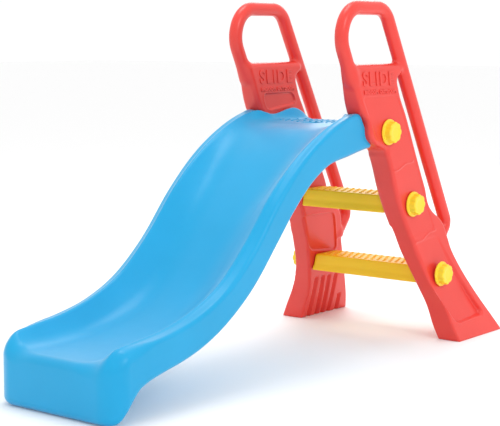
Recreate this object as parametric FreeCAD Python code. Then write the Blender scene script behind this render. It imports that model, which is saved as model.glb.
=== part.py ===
import FreeCAD, Part

import math
import os

from FreeCAD import Vector

# A small plastic slide for toddlers: two moulded side panels with hand loops, a wavy chute, two steps
# and six hand-turned knob screws that hold it together.  Millimetres, +Z up, +Y towards the ladder side,
# X across; the origin is on the floor under the middle of the bounding box.

# ---- driving dimensions -------------------------------------------------------------------------------
WALL = 3.0                  # wall of the hollow mouldings
LENGTH_FRONT = 597.0        # from the origin to the exit face of the chute
LENGTH_REAR = 597.0         # from the origin to the back of the feet

PANEL_MID_X = 136.0         # middle plane of the upright part of a side panel
PANEL_THICKNESS = 50.0
FOOT_SPREAD = 83.5          # how far the foot stands out from the upright part
SPREAD_HEIGHT = 320.0       # the panel is upright above this height
SPREAD_POWER = 1.75
PANEL_TOP = 617.0           # top of the plate, which is the lower edge of the hand opening
HANDLE_TOP = 748.0
HANDLE_RADIUS = 14.5

# height, front edge, rear edge and corner radius of the panel's plate
PANEL_ROWS = [
    (0.0, 406.0, LENGTH_REAR, 14.0),
    (30.0, 401.0, 580.0, 14.0),
    (75.0, 399.0, 554.0, 14.0),
    (122.0, 381.0, 527.0, 14.0),
    (165.0, 360.0, 503.0, 14.0),
    (195.0, 346.0, 487.0, 14.0),
    (225.0, 332.0, 476.0, 14.0),
    (256.0, 317.0, 450.0, 14.0),
    (280.0, 305.0, 430.0, 14.0),
    (345.0, 271.0, 391.0, 14.0),
    (417.0, 239.0, 353.0, 14.0),
    (432.0, 228.0, 347.0, 14.0),
    (444.0, 197.5, 342.0, 14.0),
    (509.0, 157.5, 312.5, 14.0),
    (516.0, 151.0, 310.0, 16.0),
    (524.0, 140.0, 306.0, 18.0),
    (578.0, 120.0, 284.0, 18.0),
    (597.0, 115.0, 312.0, 16.0),
    (PANEL_TOP, 111.0, 310.0, 14.0),
]
# half thickness of the plate, as (height, half thickness)
PANEL_HALF_LINE = [(0.0, 25.0), (500.0, 25.0), (560.0, 21.5), (PANEL_TOP, 16.5)]

# middle line of the bar that forms the hand loop and then the rear rail: corners as (y, z, bend radius)
BAR_MID_X = 139.0
BAR_CORNERS = [
    (131.0, 586.0, 0.0), (90.0, 668.0, 60.0), (112.0, HANDLE_TOP - HANDLE_RADIUS, 58.0),
    (252.5, HANDLE_TOP - HANDLE_RADIUS, 50.0), (515.0, 249.0, 22.0), (475.0, 200.0, 0.0),
]

CHUTE_EXIT_HALF = 153.5     # half width of the chute at its exit
CHUTE_TOP_HALF = 148.0      # half width where the chute meets the panels
RIM_INNER = 123.0           # inner edge of the rims along the slope
DECK_INNER = 100.0          # inner edge of the side walls of the deck
DECK_HALF = 110.5           # half width of the standing deck between the panels
DECK_REAR = 300.0
EXIT_CORNER = 36.0          # plan radius of the two corners of the exit

# lines of the chute in side view, as (y, z)
RIM_OUTER_LINE = [
    (-LENGTH_FRONT, 99.0), (-590.0, 113.0), (-575.0, 124.0), (-555.0, 131.0), (-520.0, 136.0), (-440.0, 146.0),
    (-360.0, 165.0), (-280.0, 203.0), (-200.0, 268.0), (-120.0, 357.0), (-40.0, 429.0), (40.0, 478.0),
    (120.0, 509.0), (145.0, 515.0), (160.0, 513.0), (DECK_REAR, 506.0),
]
RIM_INNER_LINE = [
    (-LENGTH_FRONT, 99.0), (-590.0, 113.0), (-575.0, 124.5), (-555.0, 132.0), (-520.0, 138.5), (-440.0, 149.0),
    (-360.0, 172.0), (-280.0, 211.0), (-200.0, 281.0), (-120.0, 368.0), (-40.0, 432.0), (40.0, 477.0),
    (120.0, 506.0), (145.0, 511.0), (170.0, 503.0), (270.0, 511.0), (DECK_REAR, 498.0),
]
FLOOR_LINE = [
    (-LENGTH_FRONT, 86.0), (-590.0, 97.0), (-575.0, 104.0), (-555.0, 106.0), (-500.0, 107.0), (-405.0, 115.0),
    (-343.0, 131.0), (-290.0, 154.0), (-239.0, 190.0), (-192.0, 237.0), (-130.0, 307.0), (-60.0, 376.0),
    (19.0, 443.0), (79.0, 476.0), (150.0, 487.0), (DECK_REAR, 488.0),
]
UNDER_LINE = [
    (-LENGTH_FRONT, -6.0), (-575.0, -4.0), (-566.0, 13.0), (-555.0, 26.0), (-541.0, 42.0), (-525.0, 57.0),
    (-500.0, 70.0), (-455.0, 78.0), (-406.0, 88.0), (-347.0, 106.0), (-262.0, 149.0), (-199.0, 196.0),
    (-123.0, 274.0), (-71.0, 329.0), (-18.0, 375.0), (43.0, 410.0), (121.0, 427.0), (195.0, 440.0),
    (DECK_REAR, 441.0),
]
# half width of the flat part of the floor, as (y, half width)
FLOOR_HALF_LINE = [
    (-LENGTH_FRONT, 88.0), (-400.0, 80.0), (-300.0, 67.0), (-200.0, 58.0), (-120.0, 64.0), (-50.0, 78.0),
    (50.0, 90.0), (DECK_REAR, 92.0),
]
# upper end of the chute outside the deck, where it butts against the panels, as (y, z)
CHEEK_LINE = [(138.0, 524.0), (150.0, 516.0), (157.0, 509.0), (197.0, 444.0)]

# front edge, rear edge, bottom and top of each step
STEPS = {
    "step_lower": (385.0, 466.0, 125.5, 165.0),
    "step_upper": (300.0, 382.0, 288.5, 328.0),
}
STEP_CORNER = 8.0

# the three screws of each side, as (y, z), and where the knob's flange sits
KNOBS = {
    "chute": (241.0, 472.0, 161.0),
    "upper_step": (337.0, 309.0, 163.5),
    "lower_step": (416.0, 147.0, 190.0),
}
SIDES = {"left": -1.0, "right": 1.0}

KNOB_FLANGE_RADIUS = 28.0
KNOB_FLANGE_THICKNESS = 4.0
KNOB_GRIP_RADIUS = 20.5
KNOB_LOBE_RADIUS = 5.5
KNOB_LOBES = 8
KNOB_HEIGHT = 19.0
SEAT_RADIUS = 29.5          # flat seat in the panel under the flange
BOSS_RADIUS = 16.0          # solid tunnel through the hollow panel around the screw
STUD_RADIUS = 5.0
STUD_CLEARANCE = 0.08       # radial, between the stud and what it passes through
STUD_INSIDE = 24.0          # how far the stud reaches into the threaded insert
INSERT_RADIUS = 9.5
INSERT_LENGTH = 40.0
SOCKET_MOUTH = 15.0         # the socket runs on past the insert, out of the end of the step or chute
# --------------------------------------------------------------------------------------------------------


def between(points, value):
    """Smooth height at value on a line of (place, height) points (cubic with averaged slopes)."""
    slopes = []
    last = len(points) - 1
    for i in range(len(points)):
        before = points[max(i - 1, 0)]
        after = points[min(i + 1, last)]
        slopes.append((after[1] - before[1]) / (after[0] - before[0]))
    for i in range(last):
        start, end = points[i], points[i + 1]
        if value <= end[0] or i == last - 1:
            span = end[0] - start[0]
            t = min(max((value - start[0]) / span, 0.0), 1.0)
            return ((1 + 2 * t) * (1 - t) ** 2 * start[1] + t * (1 - t) ** 2 * span * slopes[i]
                    + t * t * (3 - 2 * t) * end[1] - t * t * (1 - t) * span * slopes[i + 1])


def panel_mid(z):
    """Distance of the panel's middle plane from the centre: upright above, curving outwards to the foot."""
    if z >= SPREAD_HEIGHT:
        return PANEL_MID_X
    return PANEL_MID_X + FOOT_SPREAD * (1.0 - max(z, 0.0) / SPREAD_HEIGHT) ** SPREAD_POWER


def rounded_rectangle(x0, x1, y0, y1, z, radius):
    """Horizontal rounded rectangle as a wire of four lines and four arcs."""
    k = radius * (1.0 - math.sqrt(0.5))
    corners = [
        (Vector(x1 - radius, y0, z), Vector(x1 - k, y0 + k, z), Vector(x1, y0 + radius, z)),
        (Vector(x1, y1 - radius, z), Vector(x1 - k, y1 - k, z), Vector(x1 - radius, y1, z)),
        (Vector(x0 + radius, y1, z), Vector(x0 + k, y1 - k, z), Vector(x0, y1 - radius, z)),
        (Vector(x0, y0 + radius, z), Vector(x0 + k, y0 + k, z), Vector(x0 + radius, y0, z)),
    ]
    edges = []
    for i, (start, middle, end) in enumerate(corners):
        edges.append(Part.Arc(start, middle, end).toShape())
        edges.append(Part.makeLine(end, corners[(i + 1) % 4][0]))
    return Part.Wire(edges)


def panel_plate(inset):
    """Leg and plate of the right-hand panel, drawn in by inset on every face."""
    sections = []
    for i, (z, front, rear, radius) in enumerate(PANEL_ROWS):
        level = z
        if i == 0:
            level = z + inset
        if i == len(PANEL_ROWS) - 1:
            level = z - inset
        mid = panel_mid(level)
        half = between(PANEL_HALF_LINE, level) - inset
        sections.append(rounded_rectangle(mid - half, mid + half, front + inset, rear - inset, level,
                                          max(radius - inset, 2.0)))
    return Part.makeLoft(sections, True, True)


def rounded_path(corners, x):
    """Wire of straight runs joined by tangent arcs, in the plane at x, through (y, z, bend radius) corners."""
    edges = []
    last = Vector(x, corners[0][0], corners[0][1])
    for i in range(1, len(corners) - 1):
        corner = Vector(x, corners[i][0], corners[i][1])
        back = (Vector(x, corners[i - 1][0], corners[i - 1][1]) - corner).normalize()
        ahead = (Vector(x, corners[i + 1][0], corners[i + 1][1]) - corner).normalize()
        half_angle = back.getAngle(ahead) / 2.0
        radius = corners[i][2]
        tangent = radius / math.tan(half_angle)
        centre = corner + (back + ahead).normalize() * (radius / math.sin(half_angle))
        middle = centre + (corner - centre).normalize() * radius
        edges.append(Part.makeLine(last, corner + back * tangent))
        edges.append(Part.Arc(corner + back * tangent, middle, corner + ahead * tangent).toShape())
        last = corner + ahead * tangent
    edges.append(Part.makeLine(last, Vector(x, corners[-1][0], corners[-1][1])))
    return Part.Wire(edges)


def bar(radius):
    """Round bar of the hand loop and the rear rail."""
    path = rounded_path(BAR_CORNERS, BAR_MID_X)
    first = path.Edges[0]
    start = first.valueAt(first.FirstParameter)
    section = Part.Wire([Part.makeCircle(radius, start, first.tangentAt(first.FirstParameter))])
    return path.makePipeShell([section], True, False)


def knob_axis_cylinder(name, radius, start, end):
    """Cylinder along X on a screw's axis, from start to end, on the right-hand side."""
    y, z, _ = KNOBS[name]
    return Part.makeCylinder(radius, end - start, Vector(start, y, z), Vector(1, 0, 0))


def side_panel():
    """Hollow right-hand panel with its hand loop, rear rail, screw tunnels and knob seats."""
    outside = panel_plate(0.0).fuse(bar(HANDLE_RADIUS))
    cavity = panel_plate(WALL).fuse(bar(HANDLE_RADIUS - WALL))
    for name, (_, _, seat) in KNOBS.items():
        outside = outside.cut(knob_axis_cylinder(name, SEAT_RADIUS, seat, seat + 60.0))
        cavity = cavity.cut(knob_axis_cylinder(name, SEAT_RADIUS + WALL, seat - WALL, seat + 60.0))
        cavity = cavity.cut(knob_axis_cylinder(name, BOSS_RADIUS, 50.0, 260.0))
    solid = outside.cut(cavity)
    for name in KNOBS:
        solid = solid.cut(knob_axis_cylinder(name, STUD_RADIUS + STUD_CLEARANCE, 50.0, 260.0))
    return solid


def chute_half(y):
    """Half width of the chute at a station."""
    return CHUTE_TOP_HALF + (CHUTE_EXIT_HALF - CHUTE_TOP_HALF) * max(-y, 0.0) / LENGTH_FRONT


def chute_section(y, inset):
    """Channel-shaped section across the chute at a station, drawn in by inset."""
    step = 2.0
    slope = (between(FLOOR_LINE, y + step) - between(FLOOR_LINE, y - step)) / (2.0 * step)
    rise = inset * math.sqrt(1.0 + slope * slope)
    rim_outer = between(RIM_OUTER_LINE, y) - rise
    rim_inner = between(RIM_INNER_LINE, y) - rise
    floor = between(FLOOR_LINE, y) - rise
    under = between(UNDER_LINE, y) + rise
    half = chute_half(y) - inset
    narrowing = min(max((y - 110.0) / 60.0, 0.0), 1.0)
    inner = RIM_INNER + (DECK_INNER - RIM_INNER) * narrowing + inset
    crease = between(FLOOR_HALF_LINE, y) + inset
    bevel = 8.0
    right = [
        (half - bevel, under), (half, under + bevel), (half, rim_outer - bevel), (half - bevel, rim_outer),
        (inner, rim_inner), (0.45 * inner + 0.55 * crease, floor + 0.36 * (rim_inner - floor)),
        (0.9 * crease, floor),
    ]
    left = [(-x, z) for x, z in reversed(right)]
    points = [Vector(x, y, z) for x, z in right + left]
    return Part.makePolygon(points + points[:1])


def chute_body(inset):
    """Loft through the sections, with the rounded exit corners and the stepped upper end cut to shape."""
    stations = [-LENGTH_FRONT, -590.0, -575.0, -566.0, -555.0, -541.0, -525.0, -500.0]
    stations += [-470.0 + 30.0 * i for i in range(20)] + [120.0, 140.0, 170.0, 230.0, 270.0, DECK_REAR]
    stations[0] += inset
    stations[-1] -= inset
    loft = Part.makeLoft([chute_section(y, inset) for y in stations], True, True)
    plan = rounded_rectangle(-CHUTE_EXIT_HALF + inset, CHUTE_EXIT_HALF - inset, -LENGTH_FRONT + inset,
                             500.0, inset, EXIT_CORNER - inset)
    loft = loft.common(Part.Face(plan).extrude(Vector(0, 0, 700)))
    corners = [(y - inset, z) for y, z in CHEEK_LINE]
    corners += [(CHEEK_LINE[-1][0] - inset, 300.0), (400.0, 300.0), (400.0, CHEEK_LINE[0][1])]
    for side in SIDES.values():
        inner = side * (DECK_HALF - inset)
        outline = [Vector(inner, y, z) for y, z in corners]
        block = Part.Face(Part.makePolygon(outline + outline[:1])).extrude(Vector(side * 100.0, 0, 0))
        loft = loft.cut(block)
    return loft


def insert_space(name, side, grow):
    """Cylinder that a threaded insert fills, on one side, grown by grow."""
    y, z, _ = KNOBS[name]
    face = insert_face(name)
    start = side * (face - INSERT_LENGTH - grow)
    return Part.makeCylinder(INSERT_RADIUS + grow, INSERT_LENGTH + 2.0 * grow, Vector(start, y, z),
                             Vector(side, 0, 0))


def insert_face(name):
    """Distance from the centre to the outer end of a threaded insert: just inside the panel's inner face."""
    _, z, _ = KNOBS[name]
    return panel_mid(z + INSERT_RADIUS) - PANEL_THICKNESS / 2.0 - 0.5


def hollow(outside, cavity, screw):
    """Hollow piece across the slide, with open sockets at both ends for a screw's threaded inserts."""
    for side in SIDES.values():
        cavity = cavity.cut(insert_space(screw, side, WALL))
    solid = outside.cut(cavity)
    y, z, _ = KNOBS[screw]
    for side in SIDES.values():
        bottom = side * (insert_face(screw) - INSERT_LENGTH)
        socket = Part.makeCylinder(INSERT_RADIUS, INSERT_LENGTH + SOCKET_MOUTH, Vector(bottom, y, z),
                                   Vector(side, 0, 0))
        solid = solid.cut(socket)
    return solid


def chute():
    """Hollow chute, fixed by one screw of each side."""
    return hollow(chute_body(0.0), chute_body(WALL), "chute")


def step_body(front, rear, bottom, top, inset, reach):
    """Rounded bar across the slide."""
    y0, y1, z0, z1 = front + inset, rear - inset, bottom + inset, top - inset
    box = Part.makeBox(2.0 * reach, y1 - y0, z1 - z0, Vector(-reach, y0, z0))
    along = [edge for edge in box.Edges if abs(edge.tangentAt(edge.FirstParameter).x) > 0.9]
    return box.makeFillet(STEP_CORNER - inset, along)


def step(name, panels):
    """Hollow step, ending on the panels' inner faces."""
    front, rear, bottom, top = STEPS[name]
    screw = name.split("_")[1] + "_step"
    outside = step_body(front, rear, bottom, top, 0.0, panel_mid(bottom) - PANEL_THICKNESS / 2.0)
    inner = panel_mid(top) - PANEL_THICKNESS / 2.0 - 2.0 * WALL
    cavity = step_body(front, rear, bottom, top, WALL, inner)
    for panel in panels:
        outside = outside.cut(panel)
    return hollow(outside, cavity, screw)


def threaded_insert(name, side):
    """Blind threaded sleeve, with the thread drawn as a plain bore."""
    y, z, _ = KNOBS[name]
    face = insert_face(name)
    bore = Part.makeCylinder(STUD_RADIUS + STUD_CLEARANCE, INSERT_LENGTH - WALL, Vector(side * face, y, z),
                             Vector(-side, 0, 0))
    return insert_space(name, side, 0.0).cut(bore)


def knob(name, side):
    """Lobed knob with a round flange, seated on the panel."""
    y, z, seat = KNOBS[name]
    outwards = Vector(side, 0, 0)
    base = Vector(side * seat, y, z)
    flange = Part.makeCylinder(KNOB_FLANGE_RADIUS, KNOB_FLANGE_THICKNESS, base, outwards)
    grip = Part.makeCylinder(KNOB_GRIP_RADIUS, KNOB_HEIGHT, base, outwards)
    for i in range(KNOB_LOBES):
        angle = 2.0 * math.pi * i / KNOB_LOBES
        offset = Vector(0, math.cos(angle), math.sin(angle)) * (KNOB_GRIP_RADIUS - 1.5)
        grip = grip.fuse(Part.makeCylinder(KNOB_LOBE_RADIUS, KNOB_HEIGHT, base + offset, outwards))
    solid = flange.fuse(grip).removeSplitter()
    socket = Part.makeCylinder(STUD_RADIUS, KNOB_HEIGHT - 2.0 * WALL, base, outwards)
    return solid.cut(socket)


def stud(name, side):
    """Screw moulded into the knob, with the thread drawn as a plain round shank."""
    y, z, seat = KNOBS[name]
    start = insert_face(name) - STUD_INSIDE
    end = seat + KNOB_HEIGHT - 2.0 * WALL
    return Part.makeCylinder(STUD_RADIUS, end - start, Vector(side * start, y, z), Vector(side, 0, 0))


def mirrored(shape):
    """Copy of a right-hand shape for the left-hand side."""
    return shape.mirror(Vector(0, 0, 0), Vector(1, 0, 0))


def save(name, shape):
    """Write one sub-part and report its volume."""
    shape.exportStep("parts/" + name + ".step")
    print(name, "valid" if shape.isValid() else "NOT VALID", len(shape.Solids), "solid",
          round(shape.Volume / 1000.0, 1), "cm3")


def main():
    os.makedirs("parts", exist_ok=True)
    right = side_panel()
    save("side_panel_right", right)
    save("side_panel_left", mirrored(right))
    save("slide_chute", chute())
    full = panel_plate(0.0)
    for name in STEPS:
        save(name, step(name, [full, mirrored(full)]))
    for name in KNOBS:
        for side_name, side in SIDES.items():
            save("knob_" + name + "_" + side_name, knob(name, side))
            save("stud_" + name + "_" + side_name, stud(name, side))
            save("insert_" + name + "_" + side_name, threaded_insert(name, side))


main()
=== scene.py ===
import itertools
import math

import bpy
import numpy as np
from mathutils import Matrix, Vector


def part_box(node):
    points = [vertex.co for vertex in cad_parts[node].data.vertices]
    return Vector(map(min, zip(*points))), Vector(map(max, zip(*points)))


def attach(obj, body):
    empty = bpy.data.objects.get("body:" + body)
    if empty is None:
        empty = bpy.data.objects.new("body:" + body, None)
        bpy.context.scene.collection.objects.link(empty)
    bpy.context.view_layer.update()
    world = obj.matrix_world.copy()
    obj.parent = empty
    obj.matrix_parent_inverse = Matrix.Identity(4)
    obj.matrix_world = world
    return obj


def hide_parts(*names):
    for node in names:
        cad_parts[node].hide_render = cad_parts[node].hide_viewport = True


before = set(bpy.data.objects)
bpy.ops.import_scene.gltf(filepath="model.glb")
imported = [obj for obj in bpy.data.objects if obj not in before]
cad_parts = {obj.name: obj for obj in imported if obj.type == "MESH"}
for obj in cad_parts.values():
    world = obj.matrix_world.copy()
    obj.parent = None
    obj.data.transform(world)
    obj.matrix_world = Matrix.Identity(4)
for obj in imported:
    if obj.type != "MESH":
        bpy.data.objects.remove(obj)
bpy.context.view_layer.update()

# All sizes are in metres.  The moulded pieces are made from distance formulas: each shape function gives
# a value that is negative inside the piece and grows with the distance outside it, and skin() wraps an
# even mesh around the zero surface.

# ---- blends -------------------------------------------------------------------------------------------


def rounded(radius, *sides):
    """What lies inside all the sides, with the edges where they meet rounded to radius."""
    deepest = sides[0]
    squares = np.maximum(sides[0] + radius, 0.0) ** 2
    for side in sides[1:]:
        deepest = np.maximum(deepest, side)
        squares = squares + np.maximum(side + radius, 0.0) ** 2
    return np.minimum(deepest, -radius) + np.sqrt(squares)


def join(blend, one, other):
    """Either of the two, with a fillet about as wide as blend where they meet."""
    reach = np.maximum(blend - np.abs(one - other), 0.0) / blend
    return np.minimum(one, other) - reach * reach * blend * 0.25


def both(blend, one, other):
    """What lies inside both, with a soft edge about as wide as blend."""
    return -join(blend, -one, -other)


def smooth_step(low, high, value):
    """0 below low, 1 above high, with a smooth rise between."""
    t = np.clip((value - low) / (high - low), 0.0, 1.0)
    return t * t * (3.0 - 2.0 * t)


def along(points, value):
    """Smooth line through (place, height) points, read at value, which may be an array."""
    places = np.array([p[0] for p in points])
    heights = np.array([p[1] for p in points])
    slopes = np.gradient(heights, places)
    value = np.clip(value, places[0], places[-1])
    i = np.clip(np.searchsorted(places, value, side="right") - 1, 0, len(places) - 2)
    span = places[i + 1] - places[i]
    t = (value - places[i]) / span
    return (heights[i] * (1 + 2 * t) * (1 - t) ** 2 + span * slopes[i] * t * (1 - t) ** 2
            + heights[i + 1] * t * t * (3 - 2 * t) - span * slopes[i + 1] * t * t * (1 - t))


def slope_along(points, value):
    """Slope of the same line."""
    reach = 0.002
    return (along(points, value + reach) - along(points, value - reach)) / (2.0 * reach)


# ---- mesh around a shape ------------------------------------------------------------------------------
SETTLE_TURNS = 5
SMOOTHING_TURNS = 3         # the later turns only pull the points to the surface
SMOOTHING = 0.5
LONGEST_MOVE = 0.7          # of a cell, in one turn
FLATTEST_SLOPE = 0.05


def skin(name, shape, low, high, cell, warp=None):
    """Mesh object around the zero surface of shape, from one vertex in each grid cell that it crosses."""
    counts = [int(math.ceil((last - first) / cell)) + 1 for first, last in zip(low, high)]
    axes = [first + cell * np.arange(n) for first, n in zip(low, counts)]
    value = shape(axes[0][:, None, None], axes[1][None, :, None], axes[2][None, None, :])
    value = np.ascontiguousarray(np.broadcast_to(value, counts))
    corners = list(itertools.product((0, 1), repeat=3))

    def at_corner(array, corner):
        return array[tuple(slice(c, n - 1 + c) for c, n in zip(corner, counts))]

    inside = value < 0.0
    full = sum(at_corner(inside, corner).astype(np.int8) for corner in corners)
    active = (full > 0) & (full < 8)
    cells = np.argwhere(active)
    number = np.full(active.shape, -1, np.int64)
    number[active] = np.arange(len(cells))
    total = np.zeros((len(cells), 3))
    crossings = np.zeros(len(cells))
    for axis in range(3):
        for corner in corners:
            if corner[axis]:
                continue
            other = list(corner)
            other[axis] = 1
            a = at_corner(value, corner)[active]
            b = at_corner(value, other)[active]
            hit = (a < 0.0) != (b < 0.0)
            share = np.where(hit, a / np.where(hit, a - b, 1.0), 0.0)
            point = np.tile(np.array(corner, float), (len(cells), 1))
            point[:, axis] = share
            total += np.where(hit[:, None], point, 0.0)
            crossings += hit
    points = np.array(low) + cell * (cells + total / crossings[:, None])
    faces = []
    for axis in range(3):
        first, second = [d for d in range(3) if d != axis]
        start = [slice(1, n - 1) for n in counts]
        start[axis] = slice(0, counts[axis] - 1)
        end = list(start)
        end[axis] = slice(1, counts[axis])
        change = inside[tuple(start)] != inside[tuple(end)]
        where = np.argwhere(change)
        where[:, first] += 1
        where[:, second] += 1
        ring = []
        for back_first, back_second in ((0, 0), (1, 0), (1, 1), (0, 1)):
            at = where.copy()
            at[:, first] -= back_first
            at[:, second] -= back_second
            ring.append(number[at[:, 0], at[:, 1], at[:, 2]])
        ring = np.stack(ring, 1)
        outward = inside[tuple(where.T)]
        flip = outward if axis == 1 else ~outward
        ring[flip] = ring[flip][:, ::-1]
        faces.append(ring)
    faces = np.concatenate(faces)
    points = settle(points, faces, shape, cell)
    if warp is not None:
        points = warp(points)
    return mesh_object(name, points, faces)


def settle(points, faces, shape, cell):
    """Evens the mesh out and lays its points exactly on the zero surface."""
    edges = np.concatenate([faces[:, [i, (i + 1) % 4]] for i in range(4)])
    share = np.bincount(edges.ravel(), minlength=len(points))
    for turn in range(SETTLE_TURNS):
        if turn < SMOOTHING_TURNS:
            mean = np.stack([np.bincount(edges[:, 0], points[edges[:, 1], d], len(points))
                             + np.bincount(edges[:, 1], points[edges[:, 0], d], len(points))
                             for d in range(3)], 1) / share[:, None]
            points = points + SMOOTHING * (mean - points)
        reach = cell * 0.02
        value = shape(*points.T)
        slope = np.stack([
            (shape(*(points + reach * axis).T) - shape(*(points - reach * axis).T)) / (2 * reach)
            for axis in np.eye(3)
        ], 1)
        steep = np.maximum((slope ** 2).sum(1), FLATTEST_SLOPE)
        move = -(value / steep)[:, None] * slope
        length = np.sqrt((move ** 2).sum(1))
        points = points + move * np.minimum(1.0, LONGEST_MOVE * cell / np.maximum(length, 1e-9))[:, None]
    return points


def mesh_object(name, points, faces):
    """Smooth-shaded mesh object."""
    mesh = bpy.data.meshes.new(name)
    mesh.vertices.add(len(points))
    mesh.vertices.foreach_set("co", np.asarray(points, np.float32).ravel())
    size = faces.shape[1]
    mesh.loops.add(faces.size)
    mesh.loops.foreach_set("vertex_index", faces.astype(np.int32).ravel())
    mesh.polygons.add(len(faces))
    mesh.polygons.foreach_set("loop_start", np.arange(0, faces.size, size, dtype=np.int32))
    mesh.polygons.foreach_set("use_smooth", np.ones(len(faces), bool))
    mesh.update(calc_edges=True)
    mesh.validate()
    piece = bpy.data.objects.new(name, mesh)
    bpy.context.scene.collection.objects.link(piece)
    return piece


def mirrored(piece, name):
    """The same piece on the other side of the slide."""
    mesh = piece.data.copy()
    mesh.transform(Matrix.Scale(-1.0, 4, (1, 0, 0)))
    mesh.flip_normals()
    copy = bpy.data.objects.new(name, mesh)
    bpy.context.scene.collection.objects.link(copy)
    return copy


# ---- side panels --------------------------------------------------------------------------------------
PANEL_CELL = 0.0022
PANEL_MID = 0.136           # middle plane of the upright part
PANEL_HALF = 0.025          # half thickness beside the chute and the steps
PANEL_TOP = 0.617
FOOT_SPREAD = 0.0835        # how far the foot stands outside the upright part
SPREAD_HEIGHT = 0.320       # where the leg starts to spread
SPREAD_POWER = 1.75
BAR_MID = 0.1395            # middle plane of the hand loop and the rear rail
BAR_CENTRE_TOP = 0.7335
BAR_FOOT = 0.20             # the rail ends at this height, inside the leg
BAR_FILLET = 0.012

# edges of the leg and plate in side view, as (z, y)
FRONT_EDGE = [
    (0.0, 0.406), (0.030, 0.402), (0.075, 0.399), (0.122, 0.380), (0.165, 0.360), (0.234, 0.327),
    (0.345, 0.271), (0.417, 0.240), (0.434, 0.229), (0.446, 0.197), (0.503, 0.162), (0.512, 0.152),
    (0.524, 0.145), (0.578, 0.124), (0.597, 0.118), (0.617, 0.114), (0.640, 0.108),
]
REAR_EDGE = [
    (0.0, 0.596), (0.030, 0.580), (0.075, 0.553), (0.122, 0.526), (0.165, 0.502), (0.195, 0.487),
    (0.225, 0.478), (0.266, 0.455), (0.284, 0.427), (0.345, 0.391), (0.417, 0.353), (0.503, 0.315),
    (0.560, 0.291), (0.582, 0.290), (0.600, 0.310), (0.617, 0.310), (0.640, 0.300),
]
# half thickness, as (z, half): flared at the floor, thinner towards the hand opening
HALF_LINE = [(0.0, 0.0285), (0.10, 0.025), (0.50, 0.025), (0.56, 0.0210), (0.617, 0.0160), (0.640, 0.0155)]
LEANING_FACE = HALF_LINE[3:5]       # the stretch that carries the lettering
# rounding of the front and rear edges, as (z, radius)
EDGE_RADIUS = [(0.0, 0.004), (0.07, 0.005), (0.14, 0.008), (0.30, 0.009), (0.54, 0.010), (0.617, 0.013)]
# middle line of the bar of the hand loop and the rear rail: corners as (y, z, bend radius)
BAR_CORNERS = [
    (0.131, 0.586, 0.0), (0.090, 0.668, 0.060), (0.112, BAR_CENTRE_TOP, 0.058),
    (0.2525, BAR_CENTRE_TOP, 0.050), (0.516, 0.2490, 0.022), (0.476, 0.200, 0.0),
]
BAR_HALF_X = 0.0142
BAR_HALF_Y = 0.0150
# wavy lines raised on the outer face: (y, z) of the left end and of the right end
WAVES = [((0.243, 0.385), (0.341, 0.404)), ((0.337, 0.224), (0.430, 0.244))]
WAVE_HEIGHT = 0.0016
WAVE_HALF_WIDTH = 0.0017
WAVE_SWING = 0.0025
# recesses of the inner face, each as four (y, z) corners that run anticlockwise
INNER_RECESSES = [
    ((0.172, 0.513), (0.276, 0.525), (0.267, 0.549), (0.160, 0.548)),
    ((0.362, 0.176), (0.470, 0.166), (0.431, 0.261), (0.311, 0.263)),
]
RECESS_DEPTH = 0.0030
RECESS_LIP = 0.0008
# the shallow face and the deep pocket of the outer side, corners in the same order
OUTER_FACE = ((0.310, 0.236), (0.424, 0.246), (0.279, 0.549), (0.146, 0.549))
POCKET = ((0.425, 0.037), (0.546, 0.041), (0.430, 0.232), (0.330, 0.220))
FACE_DEPTH = 0.0010
POCKET_DEPTH = 0.0010       # at its upper end
POCKET_GAIN = 0.0095        # added towards the floor
# grooves of the inner side of the foot: (y at the top, y at the floor, height)
FLUTES = [(0.418, 0.434, 0.103), (0.444, 0.467, 0.103), (0.469, 0.491, 0.103), (0.497, 0.516, 0.103),
          (0.539, 0.550, 0.046)]
FLUTE_DEPTH = 0.0080
FLUTE_HALF = 0.0085

# generic lettering under the hand opening, as (words, letter height, y, z)
EMBOSSED = [("SLIDE", 0.041, 0.209, 0.584), ("INDOOR  OUTDOOR", 0.0105, 0.212, 0.558)]
EMBOSS_DEPTH = 0.0012

# the three screws of a side, as the frame has them: y, z and the seat's distance from the middle
KNOBS = {}
for knob_name in ("chute", "upper_step", "lower_step"):
    knob_low, knob_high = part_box("knob_" + knob_name + "_right")
    knob_y = 0.5 * (knob_low[1] + knob_high[1])
    knob_z = 0.5 * (knob_low[2] + knob_high[2])
    KNOBS[knob_name] = (knob_y, knob_z, knob_low[0])
SEAT_RADIUS = 0.0295


def panel_mid(z):
    """Middle plane of a panel: upright above, curving outwards to the foot."""
    return PANEL_MID + FOOT_SPREAD * np.clip(1.0 - z / SPREAD_HEIGHT, 0.0, 1.0) ** SPREAD_POWER


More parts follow.
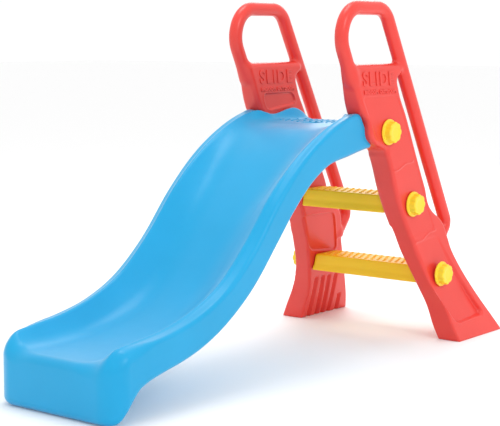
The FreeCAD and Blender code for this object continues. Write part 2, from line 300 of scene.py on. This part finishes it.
def path_distance(corners, y, z):
    """Distance in the side plane to straight runs joined by tangent arcs."""
    points = [np.array(corner[:2]) for corner in corners]
    starts = [points[0]]
    best = np.full(np.broadcast(y, z).shape, 1.0)
    for i in range(1, len(corners) - 1):
        corner, radius = points[i], corners[i][2]
        back = (points[i - 1] - corner) / np.linalg.norm(points[i - 1] - corner)
        ahead = (points[i + 1] - corner) / np.linalg.norm(points[i + 1] - corner)
        half = math.acos(float(back @ ahead)) / 2.0
        tangent = radius / math.tan(half)
        middle = (back + ahead) / np.linalg.norm(back + ahead)
        centre = corner + middle * radius / math.sin(half)
        off_y, off_z = y - centre[0], z - centre[1]
        away = np.sqrt(off_y ** 2 + off_z ** 2)
        within = -(off_y * middle[0] + off_z * middle[1]) > away * math.sin(half)
        best = np.where(within, np.minimum(best, np.abs(away - radius)), best)
        starts += [corner + back * tangent, corner + ahead * tangent]
    starts.append(points[-1])
    for a, b in zip(starts[::2], starts[1::2]):
        run = b - a
        t = np.clip(((y - a[0]) * run[0] + (z - a[1]) * run[1]) / (run @ run), 0.0, 1.0)
        best = np.minimum(best, np.sqrt((y - a[0] - t * run[0]) ** 2 + (z - a[1] - t * run[1]) ** 2))
    return best


def four_sided(corners, radius, y, z):
    """Signed distance to a rounded four-sided outline, whose corners run anticlockwise in (y, z)."""
    sides = []
    for a, b in zip(corners, corners[1:] + corners[:1]):
        length = math.hypot(b[0] - a[0], b[1] - a[1])
        sides.append(((y - a[0]) * (b[1] - a[1]) - (z - a[1]) * (b[0] - a[0])) / length)
    return rounded(radius, *sides)


def outer_relief(y, z):
    """Height of the outer face's relief: a shallow face, the pocket of the foot, the wavy lines."""
    face = -FACE_DEPTH * smooth_step(0.0016, -0.0016, four_sided(OUTER_FACE, 0.012, y, z))
    depth = POCKET_DEPTH + POCKET_GAIN * smooth_step(0.235, 0.045, z)
    pocket = -depth * smooth_step(0.0035, -0.0035, four_sided(POCKET, 0.014, y, z))
    relief = face + pocket
    for (y0, z0), (y1, z1) in WAVES:
        share = (y - y0) / (y1 - y0)
        line = z0 + (z1 - z0) * smooth_step(0.25, 0.75, share) + WAVE_SWING * np.sin(2.0 * math.pi * share)
        ends = smooth_step(0.0, 0.06, share) * smooth_step(1.0, 0.94, share)
        relief = relief + WAVE_HEIGHT * ends * np.exp(-((z - line) / WAVE_HALF_WIDTH) ** 2)
    return relief


def inner_relief(y, z):
    """Height of the inner face's relief: two framed recesses and the grooves of the foot."""
    relief = 0.0
    for corners in INNER_RECESSES:
        edge = four_sided(corners, 0.012, y, z)
        relief = relief - RECESS_DEPTH * smooth_step(0.0018, -0.0018, edge)
        relief = relief + RECESS_LIP * np.exp(-((edge - 0.0030) / 0.0020) ** 2)
    for top, floor, height in FLUTES:
        line = floor + (top - floor) * (z / height)
        across = (y - line) / FLUTE_HALF
        groove = np.maximum(1.0 - across ** 2, 0.0) * smooth_step(height + 0.004, height - 0.008, z)
        relief = relief - FLUTE_DEPTH * groove
    return relief


def panel_shape(u, y, z):
    """Right-hand panel; u is the distance outwards from the middle plane of its leg."""
    radius = along(EDGE_RADIUS, z)
    front = (along(FRONT_EDGE, z) - y) / np.sqrt(1.0 + slope_along(FRONT_EDGE, z) ** 2)
    rear = (y - along(REAR_EDGE, z)) / np.sqrt(1.0 + slope_along(REAR_EDGE, z) ** 2)
    half = along(HALF_LINE, z)
    outside = u - half - outer_relief(y, z)
    inside = -u - half - inner_relief(y, z)
    plate = rounded(0.003, rounded(radius, front, rear, outside, inside, z - PANEL_TOP), -z)
    across = u + panel_mid(z) - BAR_MID
    stretched = across * BAR_HALF_Y / BAR_HALF_X
    bar = np.sqrt(stretched ** 2 + path_distance(BAR_CORNERS, y, z) ** 2) - BAR_HALF_Y
    bar = np.maximum(bar, BAR_FOOT - z)
    shape = join(BAR_FILLET, plate, bar)
    for y0, z0, seat in KNOBS.values():
        off_axis = np.sqrt((y - y0) ** 2 + (z - z0) ** 2)
        hole = rounded(0.002, off_axis - SEAT_RADIUS, seat - panel_mid(z) - u)
        shape = both(0.003, shape, -hole)
    return shape


def panel_warp(points):
    """From distances off the middle plane to true widths."""
    moved = points.copy()
    moved[:, 0] += panel_mid(points[:, 2])
    return moved


def side_panel():
    return skin("side_panel_right_moulding", panel_shape, (-0.036, 0.070, -0.006), (0.036, 0.606, 0.756),
                PANEL_CELL, panel_warp)


def emboss(name, words, height, y, z, x, facing, side):
    """Raised lettering on a face of the right or left panel; facing is +1 for text read from +X."""
    text = bpy.data.curves.new(name, "FONT")
    text.body = words
    text.size = height
    text.align_x = "CENTER"
    text.align_y = "CENTER"
    text.space_character = 1.2
    text.extrude = EMBOSS_DEPTH
    text.bevel_depth = 0.0005
    text.bevel_resolution = 2
    text.offset = 0.0006
    shell = bpy.data.objects.new(name + "_outline", text)
    bpy.context.scene.collection.objects.link(shell)
    bpy.context.view_layer.update()
    mesh = bpy.data.meshes.new_from_object(shell.evaluated_get(bpy.context.evaluated_depsgraph_get()))
    bpy.data.objects.remove(shell)
    (low_z, low_half), (high_z, high_half) = LEANING_FACE
    tilt = math.atan2(low_half - high_half, high_z - low_z)
    turn = Matrix.Rotation(facing * math.pi / 2.0, 4, "Z") @ Matrix.Rotation(math.pi / 2.0 - tilt, 4, "X")
    mesh.transform(Matrix.Translation((side * x, y, z)) @ turn)
    piece = bpy.data.objects.new(name, mesh)
    bpy.context.scene.collection.objects.link(piece)
    return piece


# ---- chute --------------------------------------------------------------------------------------------
CHUTE_CELL = 0.0025
EXIT_Y = -0.597
CHUTE_HALF = 0.148
EXIT_HALF = 0.1535
EXIT_CORNER = 0.044
RIM_INNER = 0.123
RIM_BEAD = 0.0022
DECK_HALF = 0.1103
DECK_REAR = 0.300
CHEEK_TOP = (0.157, 0.509)
CHEEK_FOOT = (0.197, 0.444)

# lines of the chute in side view, as (y, z)
RIM_OUTER_LINE = [
    (-0.600, 0.126), (-0.570, 0.131), (-0.520, 0.136), (-0.440, 0.146), (-0.360, 0.165), (-0.280, 0.203),
    (-0.200, 0.268), (-0.120, 0.357), (-0.040, 0.429), (0.040, 0.478), (0.120, 0.509), (0.145, 0.515),
    (0.160, 0.513), (0.300, 0.506),
]
RIM_INNER_LINE = [
    (-0.600, 0.127), (-0.570, 0.132), (-0.520, 0.1385), (-0.440, 0.149), (-0.360, 0.172), (-0.280, 0.211),
    (-0.200, 0.281), (-0.120, 0.368), (-0.040, 0.432), (0.040, 0.477), (0.120, 0.506), (0.145, 0.511),
    (0.170, 0.503), (0.270, 0.511), (0.300, 0.498),
]
FLOOR_LINE = [
    (-0.600, 0.105), (-0.500, 0.106), (-0.405, 0.115), (-0.343, 0.131), (-0.290, 0.154), (-0.239, 0.190),
    (-0.192, 0.237), (-0.130, 0.307), (-0.060, 0.376), (0.019, 0.443), (0.079, 0.476), (0.150, 0.487),
    (0.300, 0.488),
]
UNDER_LINE = [
    (-0.600, 0.068), (-0.500, 0.069), (-0.455, 0.078), (-0.406, 0.088), (-0.347, 0.106), (-0.262, 0.149),
    (-0.199, 0.196), (-0.123, 0.274), (-0.071, 0.329), (-0.018, 0.375), (0.043, 0.410), (0.121, 0.427),
    (0.195, 0.440), (0.300, 0.441),
]
FLOOR_HALF_LINE = [(-0.600, 0.088), (-0.400, 0.080), (-0.300, 0.067), (-0.200, 0.058), (-0.120, 0.064),
                   (-0.050, 0.078), (0.050, 0.088), (0.300, 0.088)]
# back of the exit's foot, as (z, y)
FOOT_REAR_LINE = [(0.0, -0.572), (0.013, -0.566), (0.026, -0.555), (0.042, -0.541), (0.057, -0.525),
                  (0.073, -0.500), (0.12, -0.45)]


def chute_half(y):
    """Half width of the chute, which opens slightly towards the exit."""
    return CHUTE_HALF + (EXIT_HALF - CHUTE_HALF) * np.clip(y / EXIT_Y, 0.0, 1.0)


def chute_top(across, y):
    """Height of the upper surface: floor, sloping walls and the rims, which tip outwards."""
    floor = along(FLOOR_LINE, y)
    inner = along(RIM_INNER_LINE, y)
    outer = along(RIM_OUTER_LINE, y)
    crease = along(FLOOR_HALF_LINE, y)
    edge = RIM_INNER - 0.023 * smooth_step(0.115, 0.175, y)
    half = chute_half(y)
    share = np.clip((across - crease) / (edge - crease), -1.0, 2.0)
    wall = floor + (inner - floor) * share * (1.0 + 0.28 * (np.minimum(share, 1.2) - 1.0))
    channel = both(0.016, floor + 0.0 * across, wall)
    rim = inner + (outer - inner) * (across - edge) / (half - edge)
    bead = RIM_BEAD * np.exp(-((across - edge - 0.004) / 0.0035) ** 2)
    return join(0.003, channel, rim + bead)


def chute_shape(x, y, z):
    across = np.abs(x)
    top_slope = slope_along(FLOOR_LINE, y)
    top = (z - chute_top(across, y)) / np.sqrt(1.0 + top_slope ** 2)
    under = (along(UNDER_LINE, y) - z) / np.sqrt(1.0 + slope_along(UNDER_LINE, y) ** 2)
    foot = (y - along(FOOT_REAR_LINE, z)) / np.sqrt(1.0 + slope_along(FOOT_REAR_LINE, z) ** 2)
    below = join(0.012, under, foot)
    plan = rounded(EXIT_CORNER, across - chute_half(y), EXIT_Y - y)
    corner_share = smooth_step(-0.47, -0.57, y) * smooth_step(0.05, 0.13, across)
    front_share = smooth_step(-0.55, -0.58, y)
    body = rounded(0.007 + 0.010 * front_share + 0.020 * corner_share, plan, top)
    body = rounded(0.009, body, below, y - DECK_REAR)
    body = rounded(0.006 + 0.010 * smooth_step(-0.50, -0.57, y), body, -z)
    run_y, run_z = CHEEK_FOOT[0] - CHEEK_TOP[0], CHEEK_FOOT[1] - CHEEK_TOP[1]
    length = math.hypot(run_y, run_z)
    behind_cheek = ((y - CHEEK_TOP[0]) * -run_z + (z - CHEEK_TOP[1]) * run_y) / length
    narrow = np.minimum(across - DECK_HALF, behind_cheek)
    return rounded(0.004, body, narrow)


def chute():
    return skin("slide_chute_moulding", chute_shape, (-0.157, -0.602, -0.006), (0.157, 0.306, 0.520),
                CHUTE_CELL)


# ---- steps --------------------------------------------------------------------------------------------
STEP_CELL = 0.0016
STEP_GAP = 0.0003           # between a step's end and the panel
GROOVE_DEPTH = 0.0014       # of the long groove in a step's front
GROOVE_HALF = 0.007
DOT_RING = 10               # points round a grip dot
DOT_SINK = 0.4              # how far a dot reaches into its surface, as a share of its height
# outline of a dot from its sunk edge to its crown, as shares of its height and of its radius
DOT_PROFILE = ((-DOT_SINK, 1.0), (0.0, 0.97), (0.62, 0.72), (0.92, 0.36))
# front edge, rear edge, bottom and top of each step, as the frame has them
STEPS = {}
for step_name in ("step_lower", "step_upper"):
    step_low, step_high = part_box(step_name)
    STEPS[step_name] = (step_low[1], step_high[1], step_low[2], step_high[2])


def step(name):
    """Moulded step with soft edges, ending on the panels."""
    front, rear, bottom, top = STEPS[name]

    def shape(x, y, z):
        across = np.abs(x)
        end = across - (panel_mid(z) - PANEL_HALF - STEP_GAP)
        groove = GROOVE_DEPTH * np.exp(-((z - bottom - 0.4 * (top - bottom)) / GROOVE_HALF) ** 2)
        return rounded(0.0045, rounded(0.003, front - y + groove, y - rear, z - top, bottom - z), end)

    reach = float(panel_mid(bottom)) - PANEL_HALF + 0.004
    return skin(name + "_moulding", shape, (-reach, front - 0.004, bottom - 0.004),
                (reach, rear + 0.004, top + 0.004), STEP_CELL)


def domes(name, places, radius, height):
    """Small raised dots standing on a surface, each a closed dome sunk a little into it."""
    points = []
    faces = []
    crown_ring = (len(DOT_PROFILE) - 1) * DOT_RING
    for x, y, z in places:
        first = len(points)
        points.append((x, y, z - DOT_SINK * height))
        for level, spread in DOT_PROFILE:
            for i in range(DOT_RING):
                angle = 2.0 * math.pi * i / DOT_RING
                points.append((x + spread * radius * math.cos(angle), y + spread * radius * math.sin(angle),
                               z + level * height))
        points.append((x, y, z + height))
        crown = len(points) - 1
        for i in range(DOT_RING):
            after = (i + 1) % DOT_RING
            faces.append((first, first + 1 + after, first + 1 + i))
            for low in range(first + 1, first + 1 + crown_ring, DOT_RING):
                high = low + DOT_RING
                faces.append((low + i, low + after, high + after, high + i))
            faces.append((first + 1 + crown_ring + i, first + 1 + crown_ring + after, crown))
    mesh = bpy.data.meshes.new(name)
    mesh.from_pydata(points, [], faces)
    for polygon in mesh.polygons:
        polygon.use_smooth = True
    piece = bpy.data.objects.new(name, mesh)
    bpy.context.scene.collection.objects.link(piece)
    return piece


def step_dots(name):
    """Rows of grip dots along the top of a step, every second row set off by half a space."""
    front, rear, _, top = STEPS[name]
    space = 0.0165
    half = float(panel_mid(top)) - PANEL_HALF - 0.008
    places = []
    rows = 4
    for row in range(rows):
        y = front + 0.013 + (rear - front - 0.026) * row / (rows - 1)
        count = int(2.0 * half / space) - row % 2
        for i in range(count):
            places.append(((i - 0.5 * (count - 1)) * space, y, top))
    return domes(name + "_grip_dots", places, 0.0044, 0.0024)


def deck_dots():
    """Grip dots on the standing deck."""
    places = []
    rows = 7
    space = 0.0155
    for row in range(rows):
        y = 0.185 + 0.0155 * row
        count = 12 - row % 2
        for i in range(count):
            x = (i - 0.5 * (count - 1)) * space
            places.append((x, y, float(chute_top(np.array(abs(x)), np.array(y)))))
    return domes("slide_chute_grip_dots", places, 0.0038, 0.0018)


# ---- knobs --------------------------------------------------------------------------------------------
KNOB_CELL = 0.0009
FLANGE_RADIUS = 0.0277
FLANGE_HEIGHT = 0.0042
GRIP_RADIUS = 0.0228
KNOB_HEIGHT = 0.019
LOBES = 8
LOBE_DEPTH = 0.0030
GRIP_TAPER = 0.10


def knob_shape(u, y, z):
    """Knob about the u axis, with its seat at u = 0."""
    radius = np.sqrt(y * y + z * z)
    angle = np.arctan2(z, y)
    flange_top = u - FLANGE_HEIGHT - 0.0012 * (1 - radius / FLANGE_RADIUS)
    flange = rounded(0.0016, radius - FLANGE_RADIUS, flange_top, -u)
    lobe = LOBE_DEPTH * (np.abs(np.cos(0.5 * LOBES * angle)) ** 0.8 - 0.5)
    grip_radius = GRIP_RADIUS + lobe - GRIP_TAPER * u
    dish = 0.0008 * smooth_step(0.016, 0.010, radius)
    grip = rounded(0.0022, radius - grip_radius, u - KNOB_HEIGHT + dish, -u)
    return join(0.0018, flange, grip)


def knob(name, y, z, seat):
    """Right-hand knob, moved from the origin to its seat."""
    piece = skin("knob_" + name + "_right_moulding", knob_shape, (-0.002, -0.030, -0.030),
                 (0.023, 0.030, 0.030), KNOB_CELL)
    piece.data.transform(Matrix.Translation((seat, y, z)))
    return piece


# ---- materials ----------------------------------------------------------------------------------------


def moulded_plastic(name, colour, roughness, scatter, shine=0.5, bloom=0.0):
    """Coloured plastic with a slightly uneven tone, orange-peel skin and a little light in depth.

    shine is the strength of the reflections, and bloom the pale veil at grazing angles.
    """
    material = bpy.data.materials.new(name)
    material.use_nodes = True
    nodes, links = material.node_tree.nodes, material.node_tree.links
    shader = nodes["Principled BSDF"]
    place = nodes.new("ShaderNodeTexCoord")

    def noise(scale, detail):
        node = nodes.new("ShaderNodeTexNoise")
        node.inputs["Scale"].default_value = scale
        node.inputs["Detail"].default_value = detail
        links.new(place.outputs["Object"], node.inputs["Vector"])
        return node.outputs["Fac"]

    tone = nodes.new("ShaderNodeMix")
    tone.data_type = "RGBA"
    tone.inputs["A"].default_value = (*[c * 0.93 for c in colour], 1.0)
    tone.inputs["B"].default_value = (*[min(c * 1.05 + 0.004, 1.0) for c in colour], 1.0)
    links.new(noise(9.0, 3.0), tone.inputs["Factor"])
    links.new(tone.outputs["Result"], shader.inputs["Base Color"])
    gloss = nodes.new("ShaderNodeMapRange")
    gloss.inputs["To Min"].default_value = roughness - 0.04
    gloss.inputs["To Max"].default_value = roughness + 0.05
    links.new(noise(55.0, 4.0), gloss.inputs["Value"])
    links.new(gloss.outputs["Result"], shader.inputs["Roughness"])
    skin_bump = nodes.new("ShaderNodeBump")
    skin_bump.inputs["Distance"].default_value = 0.00003
    links.new(noise(1400.0, 2.0), skin_bump.inputs["Height"])
    wave_bump = nodes.new("ShaderNodeBump")
    wave_bump.inputs["Distance"].default_value = 0.0006
    wave_bump.inputs["Strength"].default_value = 0.6
    links.new(noise(22.0, 1.0), wave_bump.inputs["Height"])
    links.new(skin_bump.outputs["Normal"], wave_bump.inputs["Normal"])
    links.new(wave_bump.outputs["Normal"], shader.inputs["Normal"])
    shader.inputs["Subsurface Weight"].default_value = scatter
    shader.inputs["Subsurface Radius"].default_value = (1.0, 0.6, 0.4)
    shader.inputs["Subsurface Scale"].default_value = 0.004
    shader.inputs["IOR"].default_value = 1.5
    shader.inputs["Specular IOR Level"].default_value = shine
    shader.inputs["Sheen Weight"].default_value = bloom
    shader.inputs["Sheen Roughness"].default_value = 0.4
    return material


def zinc_steel():
    """Zinc-plated steel with fine turned marks round the screw."""
    material = bpy.data.materials.new("zinc_steel")
    material.use_nodes = True
    nodes, links = material.node_tree.nodes, material.node_tree.links
    shader = nodes["Principled BSDF"]
    shader.inputs["Base Color"].default_value = (0.60, 0.60, 0.62, 1.0)
    shader.inputs["Metallic"].default_value = 1.0
    place = nodes.new("ShaderNodeTexCoord")
    marks = nodes.new("ShaderNodeTexWave")
    marks.inputs["Scale"].default_value = 160.0
    marks.inputs["Distortion"].default_value = 0.4
    links.new(place.outputs["Object"], marks.inputs["Vector"])
    gloss = nodes.new("ShaderNodeMapRange")
    gloss.inputs["To Min"].default_value = 0.28
    gloss.inputs["To Max"].default_value = 0.42
    links.new(marks.outputs["Fac"], gloss.inputs["Value"])
    links.new(gloss.outputs["Result"], shader.inputs["Roughness"])
    bump = nodes.new("ShaderNodeBump")
    bump.inputs["Distance"].default_value = 0.0003
    links.new(marks.outputs["Fac"], bump.inputs["Height"])
    links.new(bump.outputs["Normal"], shader.inputs["Normal"])
    return material


RED = moulded_plastic("red_polyethylene", (0.78, 0.045, 0.032), 0.30, 0.06)
BLUE = moulded_plastic("blue_polyethylene", (0.003, 0.35, 0.66), 0.33, 0.06, 0.30, 0.25)
YELLOW = moulded_plastic("yellow_polyethylene", (1.0, 0.56, 0.005), 0.34, 0.06, 0.35)
KNOB_YELLOW = moulded_plastic("light_yellow_polypropylene", (0.95, 0.68, 0.030), 0.30, 0.08, 0.40)
NYLON = moulded_plastic("natural_nylon", (0.80, 0.79, 0.73), 0.45, 0.20)
STEEL = zinc_steel()


# ---- the slide ----------------------------------------------------------------------------------------


def place_piece(piece, body, material, slot, *nodes):
    """Gives a piece its material, puts it on its body and lets it stand for CAD nodes; slot is not used."""
    piece.data.materials.append(material)
    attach(piece, body)
    if nodes:
        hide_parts(*nodes)


panel_right = side_panel()
place_piece(mirrored(panel_right, "side_panel_left_moulding"), "frame", RED, "panel", "side_panel_left")
place_piece(panel_right, "frame", RED, "panel", "side_panel_right")
place_piece(chute(), "frame", BLUE, "chute", "slide_chute")
place_piece(deck_dots(), "frame", BLUE, "chute")
for step_name in STEPS:
    place_piece(step(step_name), "frame", YELLOW, "step", step_name)
    place_piece(step_dots(step_name), "frame", YELLOW, "step")
for side_name, side in (("right", 1), ("left", -1)):
    for face_name, face in (("outer", 1), ("inner", -1)):
        for line, (words, height, text_y, text_z) in enumerate(EMBOSSED):
            text_x = PANEL_MID + face * (float(along(HALF_LINE, text_z)) + 0.0002)
            name = "_".join(("side_panel", side_name, face_name, "lettering", str(line + 1)))
            piece = emboss(name, words, height, text_y, text_z, text_x, side * face, side)
            place_piece(piece, "frame", RED, "panel")
for knob_name, (knob_y, knob_z, knob_seat) in KNOBS.items():
    right_knob = knob(knob_name, knob_y, knob_z, knob_seat)
    left_knob = mirrored(right_knob, "knob_" + knob_name + "_left_moulding")
    for piece, side in ((right_knob, "right"), (left_knob, "left")):
        end = knob_name + "_" + side
        place_piece(piece, "grip_" + end, KNOB_YELLOW, "knob", "knob_" + end)
        for node, material in (("stud_" + end, STEEL), ("insert_" + end, NYLON)):
            for node_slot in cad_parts[node].material_slots:
                node_slot.material = material

# ---- floor, light and camera --------------------------------------------------------------------------
FLOOR_HALF = 25.0
floor_mesh = bpy.data.meshes.new("floor")
floor_corners = [(x * FLOOR_HALF, y * FLOOR_HALF, 0.0) for x, y in ((-1, -1), (1, -1), (1, 1), (-1, 1))]
floor_mesh.from_pydata(floor_corners, [], [(0, 1, 2, 3)])
floor = bpy.data.objects.new("floor", floor_mesh)
bpy.context.scene.collection.objects.link(floor)
floor_material = bpy.data.materials.new("pale_floor")
floor_material.use_nodes = True
floor_shader = floor_material.node_tree.nodes["Principled BSDF"]
floor_shader.inputs["Base Color"].default_value = (0.96, 0.96, 0.96, 1.0)
floor_shader.inputs["Roughness"].default_value = 0.9
floor_mesh.materials.append(floor_material)

world = bpy.data.worlds.new("studio")
bpy.context.scene.world = world
world.use_nodes = True
world.node_tree.nodes["Background"].inputs["Color"].default_value = (1.0, 1.0, 1.0, 1.0)
world.node_tree.nodes["Background"].inputs["Strength"].default_value = 1.02


def soft_light(name, place, target, size, watts):
    """Square area light at place, aimed at target."""
    light = bpy.data.lights.new(name, "AREA")
    light.shape = "SQUARE"
    light.size = size
    light.energy = watts
    lamp = bpy.data.objects.new(name, light)
    lamp.location = place
    lamp.rotation_euler = (Vector(target) - Vector(place)).to_track_quat("-Z", "Y").to_euler()
    bpy.context.scene.collection.objects.link(lamp)


MIDDLE = (0.0, 0.0, 0.35)
soft_light("key_light", (3.0, -0.6, 2.4), MIDDLE, 0.9, 20.0)
soft_light("top_light", (-0.3, 0.2, 3.4), MIDDLE, 1.4, 26.0)
soft_light("back_light", (-1.6, 3.0, 2.3), MIDDLE, 1.8, 26.0)

CAMERA_PLACE = (1.846, -2.340, 0.679)
CAMERA_LENS = 103.88        # mm, on the sensor width below
SENSOR_WIDTH = 36.0
CAMERA_AZIMUTH = math.radians(38.63)
CAMERA_PITCH = math.radians(-7.07)
camera_data = bpy.data.cameras.new("camera")
camera_data.sensor_width = SENSOR_WIDTH
camera_data.lens = CAMERA_LENS
camera_data.clip_end = 100.0
camera = bpy.data.objects.new("camera", camera_data)
camera.location = CAMERA_PLACE
camera.rotation_euler = (math.pi / 2.0 + CAMERA_PITCH, 0.0, CAMERA_AZIMUTH)
bpy.context.scene.collection.objects.link(camera)
bpy.context.scene.camera = camera

bpy.context.scene.view_settings.view_transform = "Standard"
